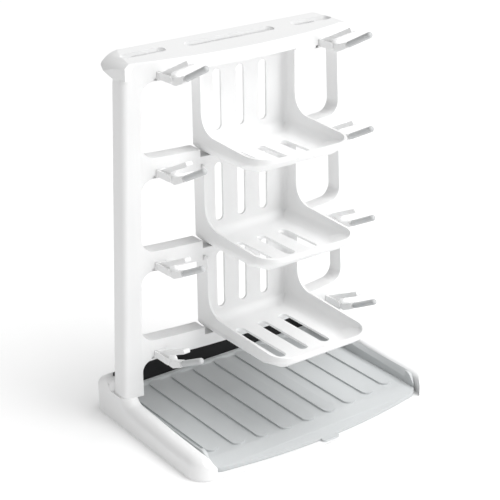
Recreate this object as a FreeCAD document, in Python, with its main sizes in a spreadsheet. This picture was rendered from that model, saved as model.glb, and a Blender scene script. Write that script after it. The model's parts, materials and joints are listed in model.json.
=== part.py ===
import math
import os

import FreeCAD
import Part

from FreeCAD import Placement, Rotation, Vector

doc = FreeCAD.newDocument("dish_rack")

# ---------------------------------------------------------------- driving dimensions (mm)
DIMS = [
    ("base_half_width", 150.0),
    ("base_back", 110.0),
    ("base_underside", 1.2),
    ("base_floor_top", 4.4),
    ("cavity_half_width", 132.6),
    ("cavity_back", 104.0),
    ("foot_joint_height", 34.0),
    ("frame_front", 30.0),
    ("frame_thickness", 17.5),
    ("frame_radius", 670.0),
    ("frame_height", 381.0),
    ("outer_top_half", 133.6),
    ("outer_foot_half", 148.2),
    ("inner_top_half", 115.2),
    ("inner_foot_half", 130.0),
    ("gate_half_width", 127.6),
    ("crossbar_height", 20.5),
    ("crossbar_bottom", 72.5),
    ("row_pitch", 95.0),
    ("window_corner", 13.0),
    ("frame_corner", 26.0),
    ("notch_half_width", 58.2),
    ("deck_back", 81.0),
    ("deck_slot_width", 12.0),
    ("shelf_half_width", 57.5),
    ("shelf_wall", 2.5),
    ("shelf_height", 84.0),
    ("shelf_back", 49.3),
    ("shelf_floor", 88.0),
    ("shelf_lip", 21.5),
    ("shelf_slot_pitch", 27.3),
    ("tray_half_width", 132.2),
    ("tray_rim_width", 3.6),
    ("tray_floor", 11.0),
    ("tray_rim_height", 24.2),
    ("tray_back", 101.0),
    ("rib_pitch", 27.75),
    ("rib_width", 14.0),
    ("rib_height", 2.0),
    ("panel_thickness", 2.4),
    ("panel_top", 33.0),
    ("peg_width", 6.8),
    ("peg_first_x", 94.8),
    ("peg_splay", 4.7),
    ("pin_radius", 1.75),
    ("grip_radius", 3.1),
    ("grip_bore", 1.8),
    ("grip_length", 38.0),
    ("foot_radius", 8.0),
    ("foot_height", 2.6),
    ("plug_radius", 3.2),
    ("plug_height", 4.8),
]
sheet = doc.addObject("Spreadsheet::Sheet", "Dims")
D = {}
for row, (alias, value) in enumerate(DIMS, start=1):
    sheet.set("A%d" % row, alias)
    sheet.set("B%d" % row, "%g" % value)
    sheet.setAlias("B%d" % row, alias)
    D[alias] = value
doc.recompute()

# depths below are measured from the tower's datum; the origin is the middle of the base
DATUM = Vector(0, -4.4, 0)
PLANES = {
    "XY": Rotation(),
    "XZ": Rotation(Vector(1, 0, 0), 90),
    "YZ": Rotation(Vector(0, 0, 1), 90).multiply(Rotation(Vector(1, 0, 0), 90)),
}
ROWS = [D["crossbar_bottom"] + D["row_pitch"] * i for i in (3, 2, 1, 0)]
SHELVES = [
    ("shelf_top", 2, -63.0, 31.0),
    ("shelf_middle", 1, -74.0, 28.5),
    ("shelf_bottom", 0, -95.0, 26.5),
]


# ---------------------------------------------------------------- helpers
def outline(points):
    """Closed outline from (x, y, corner radius) points."""
    spans = []
    for i, (x, y, radius) in enumerate(points):
        here = Vector(x, y, 0)
        if radius <= 0:
            spans.append((here, None, here))
            continue
        following = points[(i + 1) % len(points)]
        back = Vector(points[i - 1][0], points[i - 1][1], 0) - here
        ahead = Vector(following[0], following[1], 0) - here
        back.normalize()
        ahead.normalize()
        half = back.getAngle(ahead) / 2
        reach = radius / math.tan(half)
        middle = back + ahead
        middle.normalize()
        middle = here + middle * (radius / math.sin(half) - radius)
        spans.append((here + back * reach, middle, here + ahead * reach))
    edges = []
    for i, (start, middle, end) in enumerate(spans):
        if middle is not None:
            edges.append(Part.Arc(start, middle, end))
        edges.append(Part.LineSegment(end, spans[(i + 1) % len(spans)][0]))
    return edges


def slot(x, y, width, length):
    """Round-ended slot outline centred on (x, y), long along y."""
    a = width / 2
    b = length / 2 - a
    return [
        Part.LineSegment(Vector(x - a, y + b, 0), Vector(x - a, y - b, 0)),
        Part.Arc(Vector(x - a, y - b, 0), Vector(x, y - b - a, 0), Vector(x + a, y - b, 0)),
        Part.LineSegment(Vector(x + a, y - b, 0), Vector(x + a, y + b, 0)),
        Part.Arc(Vector(x + a, y + b, 0), Vector(x, y + b + a, 0), Vector(x - a, y + b, 0)),
    ]


def prism(name, plane, edges, level, length, bind=None):
    """Pad of a sketch standing at a level along its plane's normal."""
    body = doc.addObject("PartDesign::Body", name)
    sketch = body.newObject("Sketcher::SketchObject", name + "_sketch")
    turn = PLANES[plane]
    sketch.Placement = Placement(DATUM + turn.multVec(Vector(0, 0, level)), turn)
    sketch.addGeometry(edges, False)
    pad = body.newObject("PartDesign::Pad", name + "_pad")
    pad.Profile = sketch
    pad.Length = length
    if bind:
        pad.setExpression("Length", bind)
    body.Tip = pad
    doc.recompute()
    return body


def box(name, low, high):
    item = doc.addObject("Part::Box", name)
    item.Length = high[0] - low[0]
    item.Width = high[1] - low[1]
    item.Height = high[2] - low[2]
    item.Placement = Placement(DATUM + Vector(*low), Rotation())
    return item


def cylinder(name, centre, radius, height, turn=None):
    item = doc.addObject("Part::Cylinder", name)
    item.Radius = radius
    item.Height = height
    item.Placement = Placement(DATUM + Vector(*centre), turn or Rotation())
    return item


def combine(kind, name, parts):
    item = doc.addObject("Part::" + kind, name)
    item.Shapes = parts
    doc.recompute()
    return item


def cut(name, body, tools):
    item = doc.addObject("Part::Cut", name)
    item.Base = body
    item.Tool = combine("MultiFuse", name + "_tools", tools) if len(tools) > 1 else tools[0]
    doc.recompute()
    return item


def fillet(name, body, radius, wanted):
    """Round the edges picked by wanted(edge)."""
    item = doc.addObject("Part::Fillet", name)
    item.Base = body
    picked = []
    for number, edge in enumerate(body.Shape.Edges, start=1):
        if wanted(edge):
            picked.append((number, radius, radius))
    item.Edges = picked
    doc.recompute()
    return item


def half_width(kind, z):
    top = D[kind + "_top_half"]
    foot = D[kind + "_foot_half"]
    height = D["frame_height"] - D["foot_joint_height"]
    return foot + (top - foot) * (z - D["foot_joint_height"]) / height


NODES = {}

# ---------------------------------------------------------------- base
W = D["base_half_width"]
back = D["base_back"]
base_plan = outline([(W, back, 20), (-W, back, 20), (-W, -84, 20), (0, -106.2, 640), (W, -84, 20)])
base_block = prism("base_block", "XY", base_plan, D["base_underside"], 56)
side_above = outline([
    (-130, 4.6, 0), (-93, 5.2, 5), (-78, 24.2, 0), (-30, 25.4, 60), (45, 29.6, 11),
    (45, 120, 0), (-130, 120, 0),
])
rear_above = outline([
    (65, D["foot_joint_height"], 0), (65, 49.5, 3), (82, 48, 16), (101, 36, 14), (113, 24, 0),
    (140, 24, 0), (140, 120, 0), (20, 120, 0), (20, D["foot_joint_height"], 0),
])
C = D["cavity_half_width"]
cavity_plan = outline([
    (C, D["cavity_back"], 6), (-C, D["cavity_back"], 6), (-C, -82.6, 12), (-125, -91, 6),
    (-123, -130, 0), (123, -130, 0), (125, -91, 6), (C, -82.6, 12),
])
underside_plan = outline([(120, 92, 12), (-120, 92, 12), (-120, -74, 12), (120, -74, 12)])
base_raw = cut("base_raw", base_block, [
    prism("base_side_above", "YZ", side_above, -160, 320),
    prism("base_rear_above", "YZ", rear_above, -160, 320),
    prism("base_cavity", "XY", cavity_plan, D["base_floor_top"], 80),
    prism("base_underside_hollow", "XY", underside_plan, -1, 3.6),
])


def ends(edge):
    """Depths and heights of an edge's two ends, and the smaller of its distances from the middle plane."""
    a, b = edge.Vertexes[0].Point, edge.Vertexes[-1].Point
    return (a.y - DATUM.y, b.y - DATUM.y), (a.z, b.z), min(abs(a.x), abs(b.x))


def rail_edge(edge):
    depth, height, side = ends(edge)
    return side > W - 0.05 and min(height) > 15 and min(depth) > -79 and max(depth) < 43.5


def block_edge(edge):
    depth, height, side = ends(edge)
    return side > W - 0.05 and min(height) > 15 and min(depth) > 64 and max(depth) < 95


def nose_edge(edge):
    depth, height, side = ends(edge)
    return min(height) > 20 and max(abs(y + 78) for y in depth) < 0.6


base_rail_round = fillet("base_rail_round", base_raw, 10.5, rail_edge)
base_block_round = fillet("base_block_round", base_rail_round, 8.0, block_edge)
base_round = fillet("base_nose_round", base_block_round, 5.0, nose_edge)
FEET = [(sx * 132, y) for sx in (-1, 1) for y in (-66, 92)]
PLUGS = [(-141, 73), (141, 73)]
recesses = []
for i, (x, y) in enumerate(FEET):
    recesses.append(cylinder("foot_recess_%d" % i, (x, y, 0), D["foot_radius"] + 0.2, D["foot_height"]))
for i, (x, y) in enumerate(PLUGS):
    recesses.append(cylinder("plug_recess_%d" % i, (x, y, 46.5), D["plug_radius"] + 0.05, 20))
NODES["base"] = cut("base_final", base_round, recesses)

for i, (x, y) in enumerate(FEET):
    foot = cylinder("foot_%d" % i, (x, y, 0), D["foot_radius"], D["foot_height"])
    foot.setExpression("Radius", "Dims.foot_radius")
    foot.setExpression("Height", "Dims.foot_height")
    NODES["foot_%d" % (i + 1)] = foot
for side, (x, y) in zip(("left", "right"), PLUGS):
    plug = cylinder("plug_%s_raw" % side, (x, y, 46.5), D["plug_radius"], D["plug_height"])
    plug.setExpression("Radius", "Dims.plug_radius")
    plug.setExpression("Height", "Dims.plug_height")
    doc.recompute()
    NODES["plug_" + side] = fillet("plug_%s_round" % side, plug, 0.8, lambda e: e.BoundBox.ZMin > 48)

panel = box("rear_panel_raw", (-126, D["cavity_back"] - 0.2 - D["panel_thickness"], 4.6),
            (126, D["cavity_back"] - 0.2, D["panel_top"]))
panel.setExpression("Width", "Dims.panel_thickness")
NODES["rear_panel"] = panel

# ---------------------------------------------------------------- tower frame
H = D["frame_height"]
foot_z = D["foot_joint_height"]
radius = D["frame_radius"]
front = D["frame_front"]


def arc_point(r, x):
    return Vector(x, front + radius - math.sqrt(r * r - x * x), 0)


inner_r = radius - D["frame_thickness"]
band_edges = [
    Part.Arc(arc_point(radius, -165), arc_point(radius, 0), arc_point(radius, 165)),
    Part.LineSegment(arc_point(radius, 165), arc_point(inner_r, 165)),
    Part.Arc(arc_point(inner_r, 165), arc_point(inner_r, 0), arc_point(inner_r, -165)),
    Part.LineSegment(arc_point(inner_r, -165), arc_point(radius, -165)),
]
band = prism("tower_band", "XY", band_edges, foot_z, H - foot_z)
top = half_width("outer", H)
foot_out = half_width("outer", foot_z)
corner = D["frame_corner"]
elevation = prism("tower_elevation", "XZ", outline([
    (-foot_out, foot_z, 0), (-top, H, corner), (top, H, corner), (foot_out, foot_z, 0),
]), -200, 400)
ladder = combine("MultiCommon", "tower_ladder", [band, elevation])


def outer_front(edge):
    """Outer edges of the ladder's front face, from foot to foot round both top corners."""
    low, high = edge.Vertexes[0].Point, edge.Vertexes[-1].Point
    if max(low.y, high.y) > arc_point(radius, 150).y + DATUM.y + 0.1 or low.distanceToPoint(high) < 5:
        return False
    if abs(low.z - high.z) < 1 or min(abs(low.x), abs(high.x)) < 90:
        return False
    for point in (low, high):
        if abs(point.y - DATUM.y - arc_point(radius, point.x).y) > 0.1:
            return False
    return True


ladder_round = fillet("tower_ladder_round", ladder, 6.5, outer_front)
hood_side = outline([(42, H + 2, 0), (42, 361, 0), (60, 361, 8), (D["deck_back"], 370.5, 3),
                     (D["deck_back"], H + 2, 0)])
hood_front = outline([
    (-134.6, 350, 0), (-140, 366, 8), (-139, H, 27), (139, H, 27), (140, 366, 8), (134.6, 350, 0),
])
hood_plan = outline([(-131.5, 36, 0), (-141, 90, 16), (141, 90, 16), (131.5, 36, 0)])
hood = combine("MultiCommon", "tower_hood", [
    prism("tower_hood_side", "YZ", hood_side, -160, 320),
    prism("tower_hood_front", "XZ", hood_front, -200, 400),
    prism("tower_hood_plan", "XY", hood_plan, 340, 60),
])
shell = combine("MultiFuse", "tower_shell", [ladder_round, hood])

openings = []
r = D["window_corner"]
for i, low in enumerate(ROWS[:3]):
    floor_z = ROWS[i + 1] + D["crossbar_height"]
    roof_z = low
    a = half_width("inner", floor_z)
    b = half_width("inner", roof_z)
    window = outline([(-a, floor_z, r), (-b, roof_z, r), (b, roof_z, r), (a, floor_z, r)])
    openings.append(prism("tower_window_%d" % (i + 1), "XZ", window, -120, 120))
gate_top = ROWS[3]
g = D["gate_half_width"]
gate = outline([(-g, foot_z, 0), (-g, gate_top, r), (g, gate_top, r), (g, foot_z, 0)])
openings.append(prism("tower_gate", "XZ", gate, -120, 120))
slope = outline([(0, H - 8.1, 0), (100, H + 1.9, 0), (100, H + 30, 0), (0, H + 30, 0)])
openings.append(prism("tower_top_slope", "YZ", slope, -160, 320))
under_deck = outline([(50.5, 340, 0), (50.5, H - 6.4, 2), (77.6, H - 4.0, 2), (77.6, 340, 0)])
openings.append(prism("tower_under_deck", "YZ", under_deck, -109, 218))
for i, (x, length) in enumerate(((-100, 49), (0, 105), (100, 49))):
    deck_slot = slot(0, 0, D["deck_slot_width"], length)
    cutter = prism("tower_deck_slot_%d" % (i + 1), "XY", deck_slot, 350, 60)
    turn = Rotation(Vector(0, 0, 1), 90)
    centre = DATUM + Vector(x, 62, 0)
    cutter.Placement = Placement(centre - turn.multVec(DATUM), turn)
    openings.append(cutter)
n = D["notch_half_width"]
floor0 = D["shelf_floor"]
for i in range(3):
    seat = floor0 + D["row_pitch"] * i - D["shelf_wall"] - 0.2
    openings.append(box("tower_seat_%d" % (i + 1), (-n, 10, seat), (n, 70, seat + 9)))
    brow = floor0 + D["row_pitch"] * i + D["shelf_height"]
    openings.append(box("tower_brow_%d" % (i + 1), (-n, 10, brow - 12), (n, 70, brow + 0.6)))


def peg_x(k):
    return D["peg_first_x"] + D["peg_splay"] * k


def face_y(x):
    return arc_point(radius, x).y


PEG_SITES = []
for k in range(4):
    for side, sign in (("left", -1), ("right", 1)):
        PEG_SITES.append((side, k, sign * peg_x(k), ROWS[k]))
for side, k, x, z in PEG_SITES:
    y = face_y(abs(x))
    site = "%s_%d" % (side, k + 1)
    openings.append(box("tower_recess_" + site, (x - 6.3, y - 2, z + 0.3), (x + 6.3, y + 3, z + 8.9)))
    openings.append(box("tower_notch_" + site, (x - 9.5, y - 2, z + 0.3), (x - 6, y + 3, z + 3)))
tower_cut = cut("tower_cut", shell, openings)
NODES["tower_frame"] = tower_cut


# ---------------------------------------------------------------- shelves
def shelf_body(name, step, rim, skin):
    """The shelf's outer form, or with a skin the same form that much smaller, open at the top."""
    w = D["shelf_half_width"] - skin
    floor = D["shelf_floor"] + D["row_pitch"] * step
    low = floor - D["shelf_wall"] + skin
    high = floor + D["shelf_height"] + skin * 8
    rear = D["shelf_back"] - skin
    nose = rim + skin
    round_ = 24 - skin
    plan = outline([(w, rear, 5), (-w, rear, 5), (-w, nose, round_), (w, nose, round_)])
    side = outline([
        (rear, high, 0), (rear, low, 14 - skin), (nose + 21, low, 30), (nose, low + 15.5, 3), (nose, high, 0),
    ])
    face = outline([(-w, high, 0), (-w, low, 15 - skin), (w, low, 15 - skin), (w, high, 0)])
    forms = [
        prism(name + "_plan", "XY", plan, low - 10, high - low + 20),
        prism(name + "_side", "YZ", side, -80, 160),
        prism(name + "_face", "XZ", face, -100, 220),
    ]
    # upright planes at three angles round off each lower front corner; none touches the rim
    reach = round_ + 0.5
    for label, sign in (("left", -1), ("right", 1)):
        centre = DATUM + Vector(sign * (w - round_), nose + round_, 0)
        for angle, inset, rise in ((22.5, 4.5, 14.5), (45, 5.5, 13.5), (67.5, 7, 12.5)):
            corner_line = outline([
                (200, high, 0), (200, low, 0), (skin - inset, low, 14), (-reach, low + rise, 8),
                (-reach, high, 0),
            ])
            form = prism("%s_corner_%s_%d" % (name, label, angle), "YZ", corner_line, -150, 300)
            turn = Rotation(Vector(0, 0, 1), sign * angle)
            form.Placement = Placement(centre - turn.multVec(DATUM), turn)
            forms.append(form)
    return combine("MultiCommon", name, forms)


def shelf(name, step, rim, wall_front):
    floor = D["shelf_floor"] + D["row_pitch"] * step
    outer = shelf_body(name + "_outer", step, rim, 0)
    lip = floor + D["shelf_lip"]
    sweep = outline([
        (rim - 20, lip - 5.5, 0), (rim + 30, lip - 3.5, 60), (wall_front, lip + 0.5, 21),
        (wall_front, floor + 120, 0), (rim - 20, floor + 120, 0),
    ])
    tools = [
        shelf_body(name + "_inner", step, rim, D["shelf_wall"]),
        prism(name + "_sweep", "YZ", sweep, -80, 160),
    ]
    for i in (-1, 0, 1):
        x = i * D["shelf_slot_pitch"]
        back_slot = slot(x, floor + 45.6, 9.5, 61.5)
        tools.append(prism("%s_back_slot_%d" % (name, i + 2), "XZ", back_slot, -60, 25))
        middle = (18.5 + rim + 37) / 2
        floor_slot = slot(x, middle, 10.5, 18.5 - rim - 37)
        tools.append(prism("%s_floor_slot_%d" % (name, i + 2), "XY", floor_slot, floor - 10, 20))
    return cut(name + "_final", outer, tools)


for name, step, rim, wall_front in SHELVES:
    NODES[name] = shelf(name, step, rim, wall_front)

# ---------------------------------------------------------------- drip tray
T = D["tray_half_width"]
tray_low = D["base_floor_top"] + 0.2
tray_plan = outline([
    (T, D["tray_back"], 6), (-T, D["tray_back"], 6), (-T, -82, 17), (0, -103.4, 610), (T, -82, 17),
])
tray_block = prism("tray_block", "XY", tray_plan, tray_low, 22)
tab = prism("tray_tab", "XY", outline([(10, -90, 0), (-10, -90, 0), (-10, -101.2, 3), (10, -101.2, 3)]),
            tray_low, 2.2)
tray_top = outline([
    (-120, 6.2, 0), (-97, 6.6, 0), (-87, 8.8, 12), (-79.5, 11, 8), (-69, D["tray_rim_height"], 8),
    (D["tray_back"] - 16, D["tray_rim_height"], 8), (D["tray_back"] - 7, D["tray_floor"] + 3.5, 6),
    (140, D["tray_floor"] + 3.5, 0), (140, 60, 0), (-120, 60, 0),
])
R = T - D["tray_rim_width"]
field_side = outline([
    (-130, 6.2, 0), (-97, 6.6, 0), (-84, 9.4, 20), (-66, D["tray_floor"], 40),
    (D["tray_back"] - 3, D["tray_floor"], 3),
    (D["tray_back"] - 3, 60, 0), (-130, 60, 0),
])
field = prism("tray_field", "YZ", field_side, -R, 2 * R)


def rim_slope(name, side):
    """Takes the rim's inner edge down towards the front."""
    sections = []
    for number, (y, z) in enumerate(((-64, 13.5), (110, 24.5))):
        ring = doc.addObject("Part::Polygon", "%s_section_%d" % (name, number + 1))
        corners = [(R - 2, z), (T + 0.2, D["tray_rim_height"] + 0.05), (R - 2, 34)]
        ring.Nodes = [DATUM + Vector(side * x, y, height) for x, height in corners]
        ring.Close = True
        sections.append(ring)
    loft = doc.addObject("Part::Loft", name)
    loft.Sections = sections
    loft.Solid = True
    loft.Ruled = True
    doc.recompute()
    return loft


tray_cut = cut("tray_cut", combine("MultiFuse", "tray_stock", [tray_block, tab]), [
    prism("tray_top", "YZ", tray_top, -160, 320), field,
    rim_slope("tray_rim_slope_left", -1), rim_slope("tray_rim_slope_right", 1),
])
ribs = [tray_cut]
for i in range(-4, 5):
    x = i * D["rib_pitch"]
    nose = -68 + 0.00085 * x * x
    tail = D["tray_back"] - 4
    rib = slot(x, (nose + tail) / 2, D["rib_width"], tail - nose)
    ribs.append(prism("tray_rib_%d" % (i + 5), "XY", rib, D["tray_floor"] - 1.5, D["rib_height"] + 1.5))
NODES["drip_tray"] = combine("MultiFuse", "tray_final", ribs)

# ---------------------------------------------------------------- pegs and grips
RISE = math.atan2(17.0, 33.5)
along = Vector(0, -math.cos(RISE), math.sin(RISE))
for side, k, x, z in PEG_SITES:
    name = "peg_%s_%d" % (side, k + 1)
    y = face_y(abs(x))
    start = Vector(0, -2.5, z + 10)
    half = D["peg_width"] / 2
    fork = outline([
        (y + 2.9, z + 8.6, 0), (y - 5, z + 9.5, 6), (-9.5, z + 29.2, 2), (-11.5, z + 25, 2),
        (19, z + 11.2, 3), (15, z + 6.6, 6), (-0.9, z + 12.7, 1), (-3.7, z + 7.2, 1),
        (10.5, z + 0.6, 6), (y + 2.9, z + 1.2, 0),
    ])
    blade = prism(name + "_blade", "YZ", fork, x - half, D["peg_width"])
    plate = box(name + "_plate", (x - 6, y - 1.2, z + 0.6), (x + 6, y + 2.9, z + 8.6))
    web = outline([(y + 1, z + 1.6, 0), (y + 1, z + 8.4, 0), (16, z + 9.6, 3), (14, z + 2.0, 3)])
    web = prism(name + "_web", "YZ", web, x - 5.4, 10.8)
    tilt = Rotation(Vector(0, 0, 1), along)
    root = start - along * 3
    pin = cylinder(name + "_pin", (x, root.y, root.z), D["pin_radius"], 36, tilt)
    pin.setExpression("Radius", "Dims.pin_radius")
    NODES[name] = combine("MultiFuse", name + "_final", [blade, plate, web, pin])
    grip = cylinder(name + "_sleeve", (x, start.y, start.z), D["grip_radius"], D["grip_length"], tilt)
    grip.setExpression("Radius", "Dims.grip_radius")
    grip.setExpression("Height", "Dims.grip_length")
    doc.recompute()
    grip = fillet(name + "_sleeve_round", grip, 2.6, lambda e: e.Curve.TypeId == "Part::GeomCircle")
    bore = cylinder(name + "_bore", (x, root.y, root.z), D["grip_bore"], 36.3, tilt)
    bore.setExpression("Radius", "Dims.grip_bore")
    NODES[name.replace("peg", "grip")] = cut(name + "_grip_final", grip, [bore])

# ---------------------------------------------------------------- checks and export
doc.recompute()
os.makedirs("parts", exist_ok=True)
for node, item in NODES.items():
    item.Label = node
problems = []
for item in doc.Objects:
    if "Invalid" in item.State or "Error" in item.State:
        problems.append(item.Name)
for node, item in NODES.items():
    if item.Shape.isNull() or not item.Shape.isValid() or len(item.Shape.Solids) != 1:
        problems.append("%s %d" % (node, len(item.Shape.Solids)))
if problems:
    raise RuntimeError("broken objects: " + ", ".join(problems))
for node, item in NODES.items():
    item.Shape.exportStep("parts/%s.step" % node)
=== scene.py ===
import json
import math

import bpy
from mathutils import Matrix, Vector

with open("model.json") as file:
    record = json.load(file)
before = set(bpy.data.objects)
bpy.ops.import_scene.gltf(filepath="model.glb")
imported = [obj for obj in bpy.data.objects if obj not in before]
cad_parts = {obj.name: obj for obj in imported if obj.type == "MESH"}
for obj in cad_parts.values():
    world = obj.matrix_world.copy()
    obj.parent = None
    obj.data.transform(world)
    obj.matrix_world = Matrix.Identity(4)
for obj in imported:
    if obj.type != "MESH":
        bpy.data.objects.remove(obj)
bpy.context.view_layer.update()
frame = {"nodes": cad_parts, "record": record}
NODES = frame["nodes"]
SCENE = bpy.context.scene
CLEAR_WHITE = (1, 1, 1, 1)


# ---------------------------------------------------------------- camera
AZIMUTH = math.radians(-35.97)
ELEVATION = math.radians(23.05)
ROLL = math.radians(-0.72)
DISTANCE = 1.43278
TARGET = Vector((-0.0026, 0.0256, 0.1646))
LENS = 102.0
SENSOR = 36.0
FAR_CLIP = 20.0


def add_camera():
    back = Vector((
        math.sin(AZIMUTH) * math.cos(ELEVATION),
        -math.cos(AZIMUTH) * math.cos(ELEVATION),
        math.sin(ELEVATION),
    ))
    level = Vector((math.cos(AZIMUTH), math.sin(AZIMUTH), 0))
    rise = back.cross(level)
    right = level * math.cos(ROLL) + rise * math.sin(ROLL)
    up = rise * math.cos(ROLL) - level * math.sin(ROLL)
    turn = Matrix((right, up, back)).transposed().to_4x4()
    data = bpy.data.cameras.new("camera")
    data.lens = LENS
    data.sensor_width = SENSOR
    data.clip_end = FAR_CLIP
    camera = bpy.data.objects.new("camera", data)
    camera.matrix_world = Matrix.Translation(TARGET + back * DISTANCE) @ turn
    SCENE.collection.objects.link(camera)
    SCENE.camera = camera


add_camera()


# ---------------------------------------------------------------- light
LIT_POINT = Vector((0, 0, 0.18))
KEY_FROM = Vector((0.45, -1.0, 0.5))
LAMP_DISTANCE = 2.4
KEY_SIZE = 1.6
KEY_POWER = 17
OVERHEAD_FROM = Vector((0.35, -0.35, 1.0))
OVERHEAD_STRENGTH = 2.1
OVERHEAD_SPREAD = math.radians(50)
SURROUND_STRENGTH = 0.34


def add_lamp(name, data, direction):
    """Hang a lamp that shines from a direction towards the middle of the rack."""
    lamp = bpy.data.objects.new(name, data)
    aim = direction.normalized()
    lamp.location = LIT_POINT + aim * LAMP_DISTANCE
    lamp.rotation_euler = aim.to_track_quat("Z", "Y").to_euler()
    SCENE.collection.objects.link(lamp)


key = bpy.data.lights.new("key", "AREA")
key.shape = "DISK"
key.size = KEY_SIZE
key.energy = KEY_POWER
add_lamp("key", key, KEY_FROM)

overhead = bpy.data.lights.new("overhead", "SUN")
overhead.energy = OVERHEAD_STRENGTH
overhead.angle = OVERHEAD_SPREAD
add_lamp("overhead", overhead, OVERHEAD_FROM)

world = bpy.data.worlds.new("world")
world.use_nodes = True
surround = world.node_tree.nodes["Background"]
surround.inputs["Color"].default_value = CLEAR_WHITE
surround.inputs["Strength"].default_value = SURROUND_STRENGTH
SCENE.world = world
SCENE.view_settings.view_transform = "Standard"


# ---------------------------------------------------------------- materials
MARK_SCALE = 14
BUMP_DEPTH = 0.0002


def new_material(name, colour, roughness):
    mat = bpy.data.materials.new(name)
    mat.use_nodes = True
    shader = mat.node_tree.nodes["Principled BSDF"]
    shader.inputs["Base Color"].default_value = (*colour, 1)
    shader.inputs["Roughness"].default_value = roughness
    return mat, shader


def plastic(name, colour, roughness, grain, bump, spread=0.05, tint=0.02, specular=0.5):
    """Moulded plastic: fine surface grain, faint flow marks in colour and roughness."""
    mat, shader = new_material(name, colour, roughness)
    shader.inputs["Specular IOR Level"].default_value = specular
    node = mat.node_tree.nodes.new
    link = mat.node_tree.links.new
    place = node("ShaderNodeTexCoord")
    fine = node("ShaderNodeTexNoise")
    fine.inputs["Scale"].default_value = grain
    fine.inputs["Detail"].default_value = 3
    broad = node("ShaderNodeTexNoise")
    broad.inputs["Scale"].default_value = MARK_SCALE
    broad.inputs["Detail"].default_value = 4
    link(place.outputs["Object"], fine.inputs["Vector"])
    link(place.outputs["Object"], broad.inputs["Vector"])

    shade = node("ShaderNodeMapRange")
    shade.inputs["To Min"].default_value = roughness - spread
    shade.inputs["To Max"].default_value = roughness + spread
    link(broad.outputs["Fac"], shade.inputs["Value"])
    link(shade.outputs["Result"], shader.inputs["Roughness"])

    ramp = node("ShaderNodeValToRGB")
    dark, light = ramp.color_ramp.elements
    dark.position = 0.3
    light.position = 0.7
    dark.color = (*[c * (1 - tint) for c in colour], 1)
    light.color = (*[min(1, c * (1 + tint * 0.5)) for c in colour], 1)
    link(broad.outputs["Fac"], ramp.inputs["Fac"])
    link(ramp.outputs["Color"], shader.inputs["Base Color"])

    relief = node("ShaderNodeBump")
    relief.inputs["Strength"].default_value = bump
    relief.inputs["Distance"].default_value = BUMP_DEPTH
    link(fine.outputs["Fac"], relief.inputs["Height"])
    link(relief.outputs["Normal"], shader.inputs["Normal"])
    return mat


SLOT_MATERIALS = {
    "white_plastic": plastic("white_moulding", (0.93, 0.932, 0.932), 0.34, 2600, 0.10, 0.04, 0.01),
    "tray_plastic": plastic("tray_moulding", (0.60, 0.618, 0.624), 0.42, 2200, 0.16),
    "grip_rubber": plastic("grip_sleeve", (0.57, 0.58, 0.585), 0.34, 3200, 0.25, 0.06, 0.03, 0.4),
    # dark_panel is painted shade: a near-black sheet on the rear panel that stands in for the deep
    # shadow inside the back of the base
    "dark_panel": plastic("painted_shade_rear_panel", (0.012, 0.012, 0.013), 0.5, 2000, 0.2, 0.05, 0.1, 0.3),
    # dark_rubber is a near-black, fairly rough moulding
    "dark_rubber": plastic("near_black_rough_moulding", (0.03, 0.03, 0.032), 0.7, 3000, 0.3, 0.05, 0.1, 0.3),
}
for part in frame["record"]["subparts"]:
    mesh = NODES[part["node"]].data
    mesh.materials.clear()
    mesh.materials.append(SLOT_MATERIALS[part["material_slot"]])


# ---------------------------------------------------------------- softened edges on the CAD nodes
WELD_GAP = 0.00001
FLAT_ENOUGH = math.radians(0.6)
SHARP_EDGE = math.radians(30)
SOFT = {
    "tower_frame": 0.0045,
    "base": 0.002,
    "drip_tray": 0.0008,
    # rear_panel carries the near-black painted shade at the back of the base
    "rear_panel": 0.0008,
}
for step in ("top", "middle", "bottom"):
    SOFT["shelf_" + step] = 0.0009
for side in ("left", "right"):
    for number in range(1, 5):
        SOFT["peg_%s_%d" % (side, number)] = 0.0008


def soften(piece, width):
    weld = piece.modifiers.new("weld", "WELD")
    weld.merge_threshold = WELD_GAP
    clean = piece.modifiers.new("clean", "DECIMATE")
    clean.decimate_type = "DISSOLVE"
    clean.angle_limit = FLAT_ENOUGH
    bevel = piece.modifiers.new("bevel", "BEVEL")
    bevel.width = width
    bevel.segments = 3
    bevel.limit_method = "ANGLE"
    bevel.angle_limit = SHARP_EDGE
    bevel.use_clamp_overlap = True


for node_name, width in SOFT.items():
    soften(NODES[node_name], width)


# ---------------------------------------------------------------- floor
FLOOR_SIZE = 14
FLOOR_COLOUR = (0.93, 0.93, 0.93)
FLOOR_GLOW = 0.18

floor_paint, floor_shader = new_material("floor_paint", FLOOR_COLOUR, 0.6)
floor_shader.inputs["Emission Color"].default_value = CLEAR_WHITE
floor_shader.inputs["Emission Strength"].default_value = FLOOR_GLOW
bpy.ops.mesh.primitive_plane_add(size=FLOOR_SIZE)
floor = bpy.context.object
floor.name = "floor"
floor.data.materials.append(floor_paint)
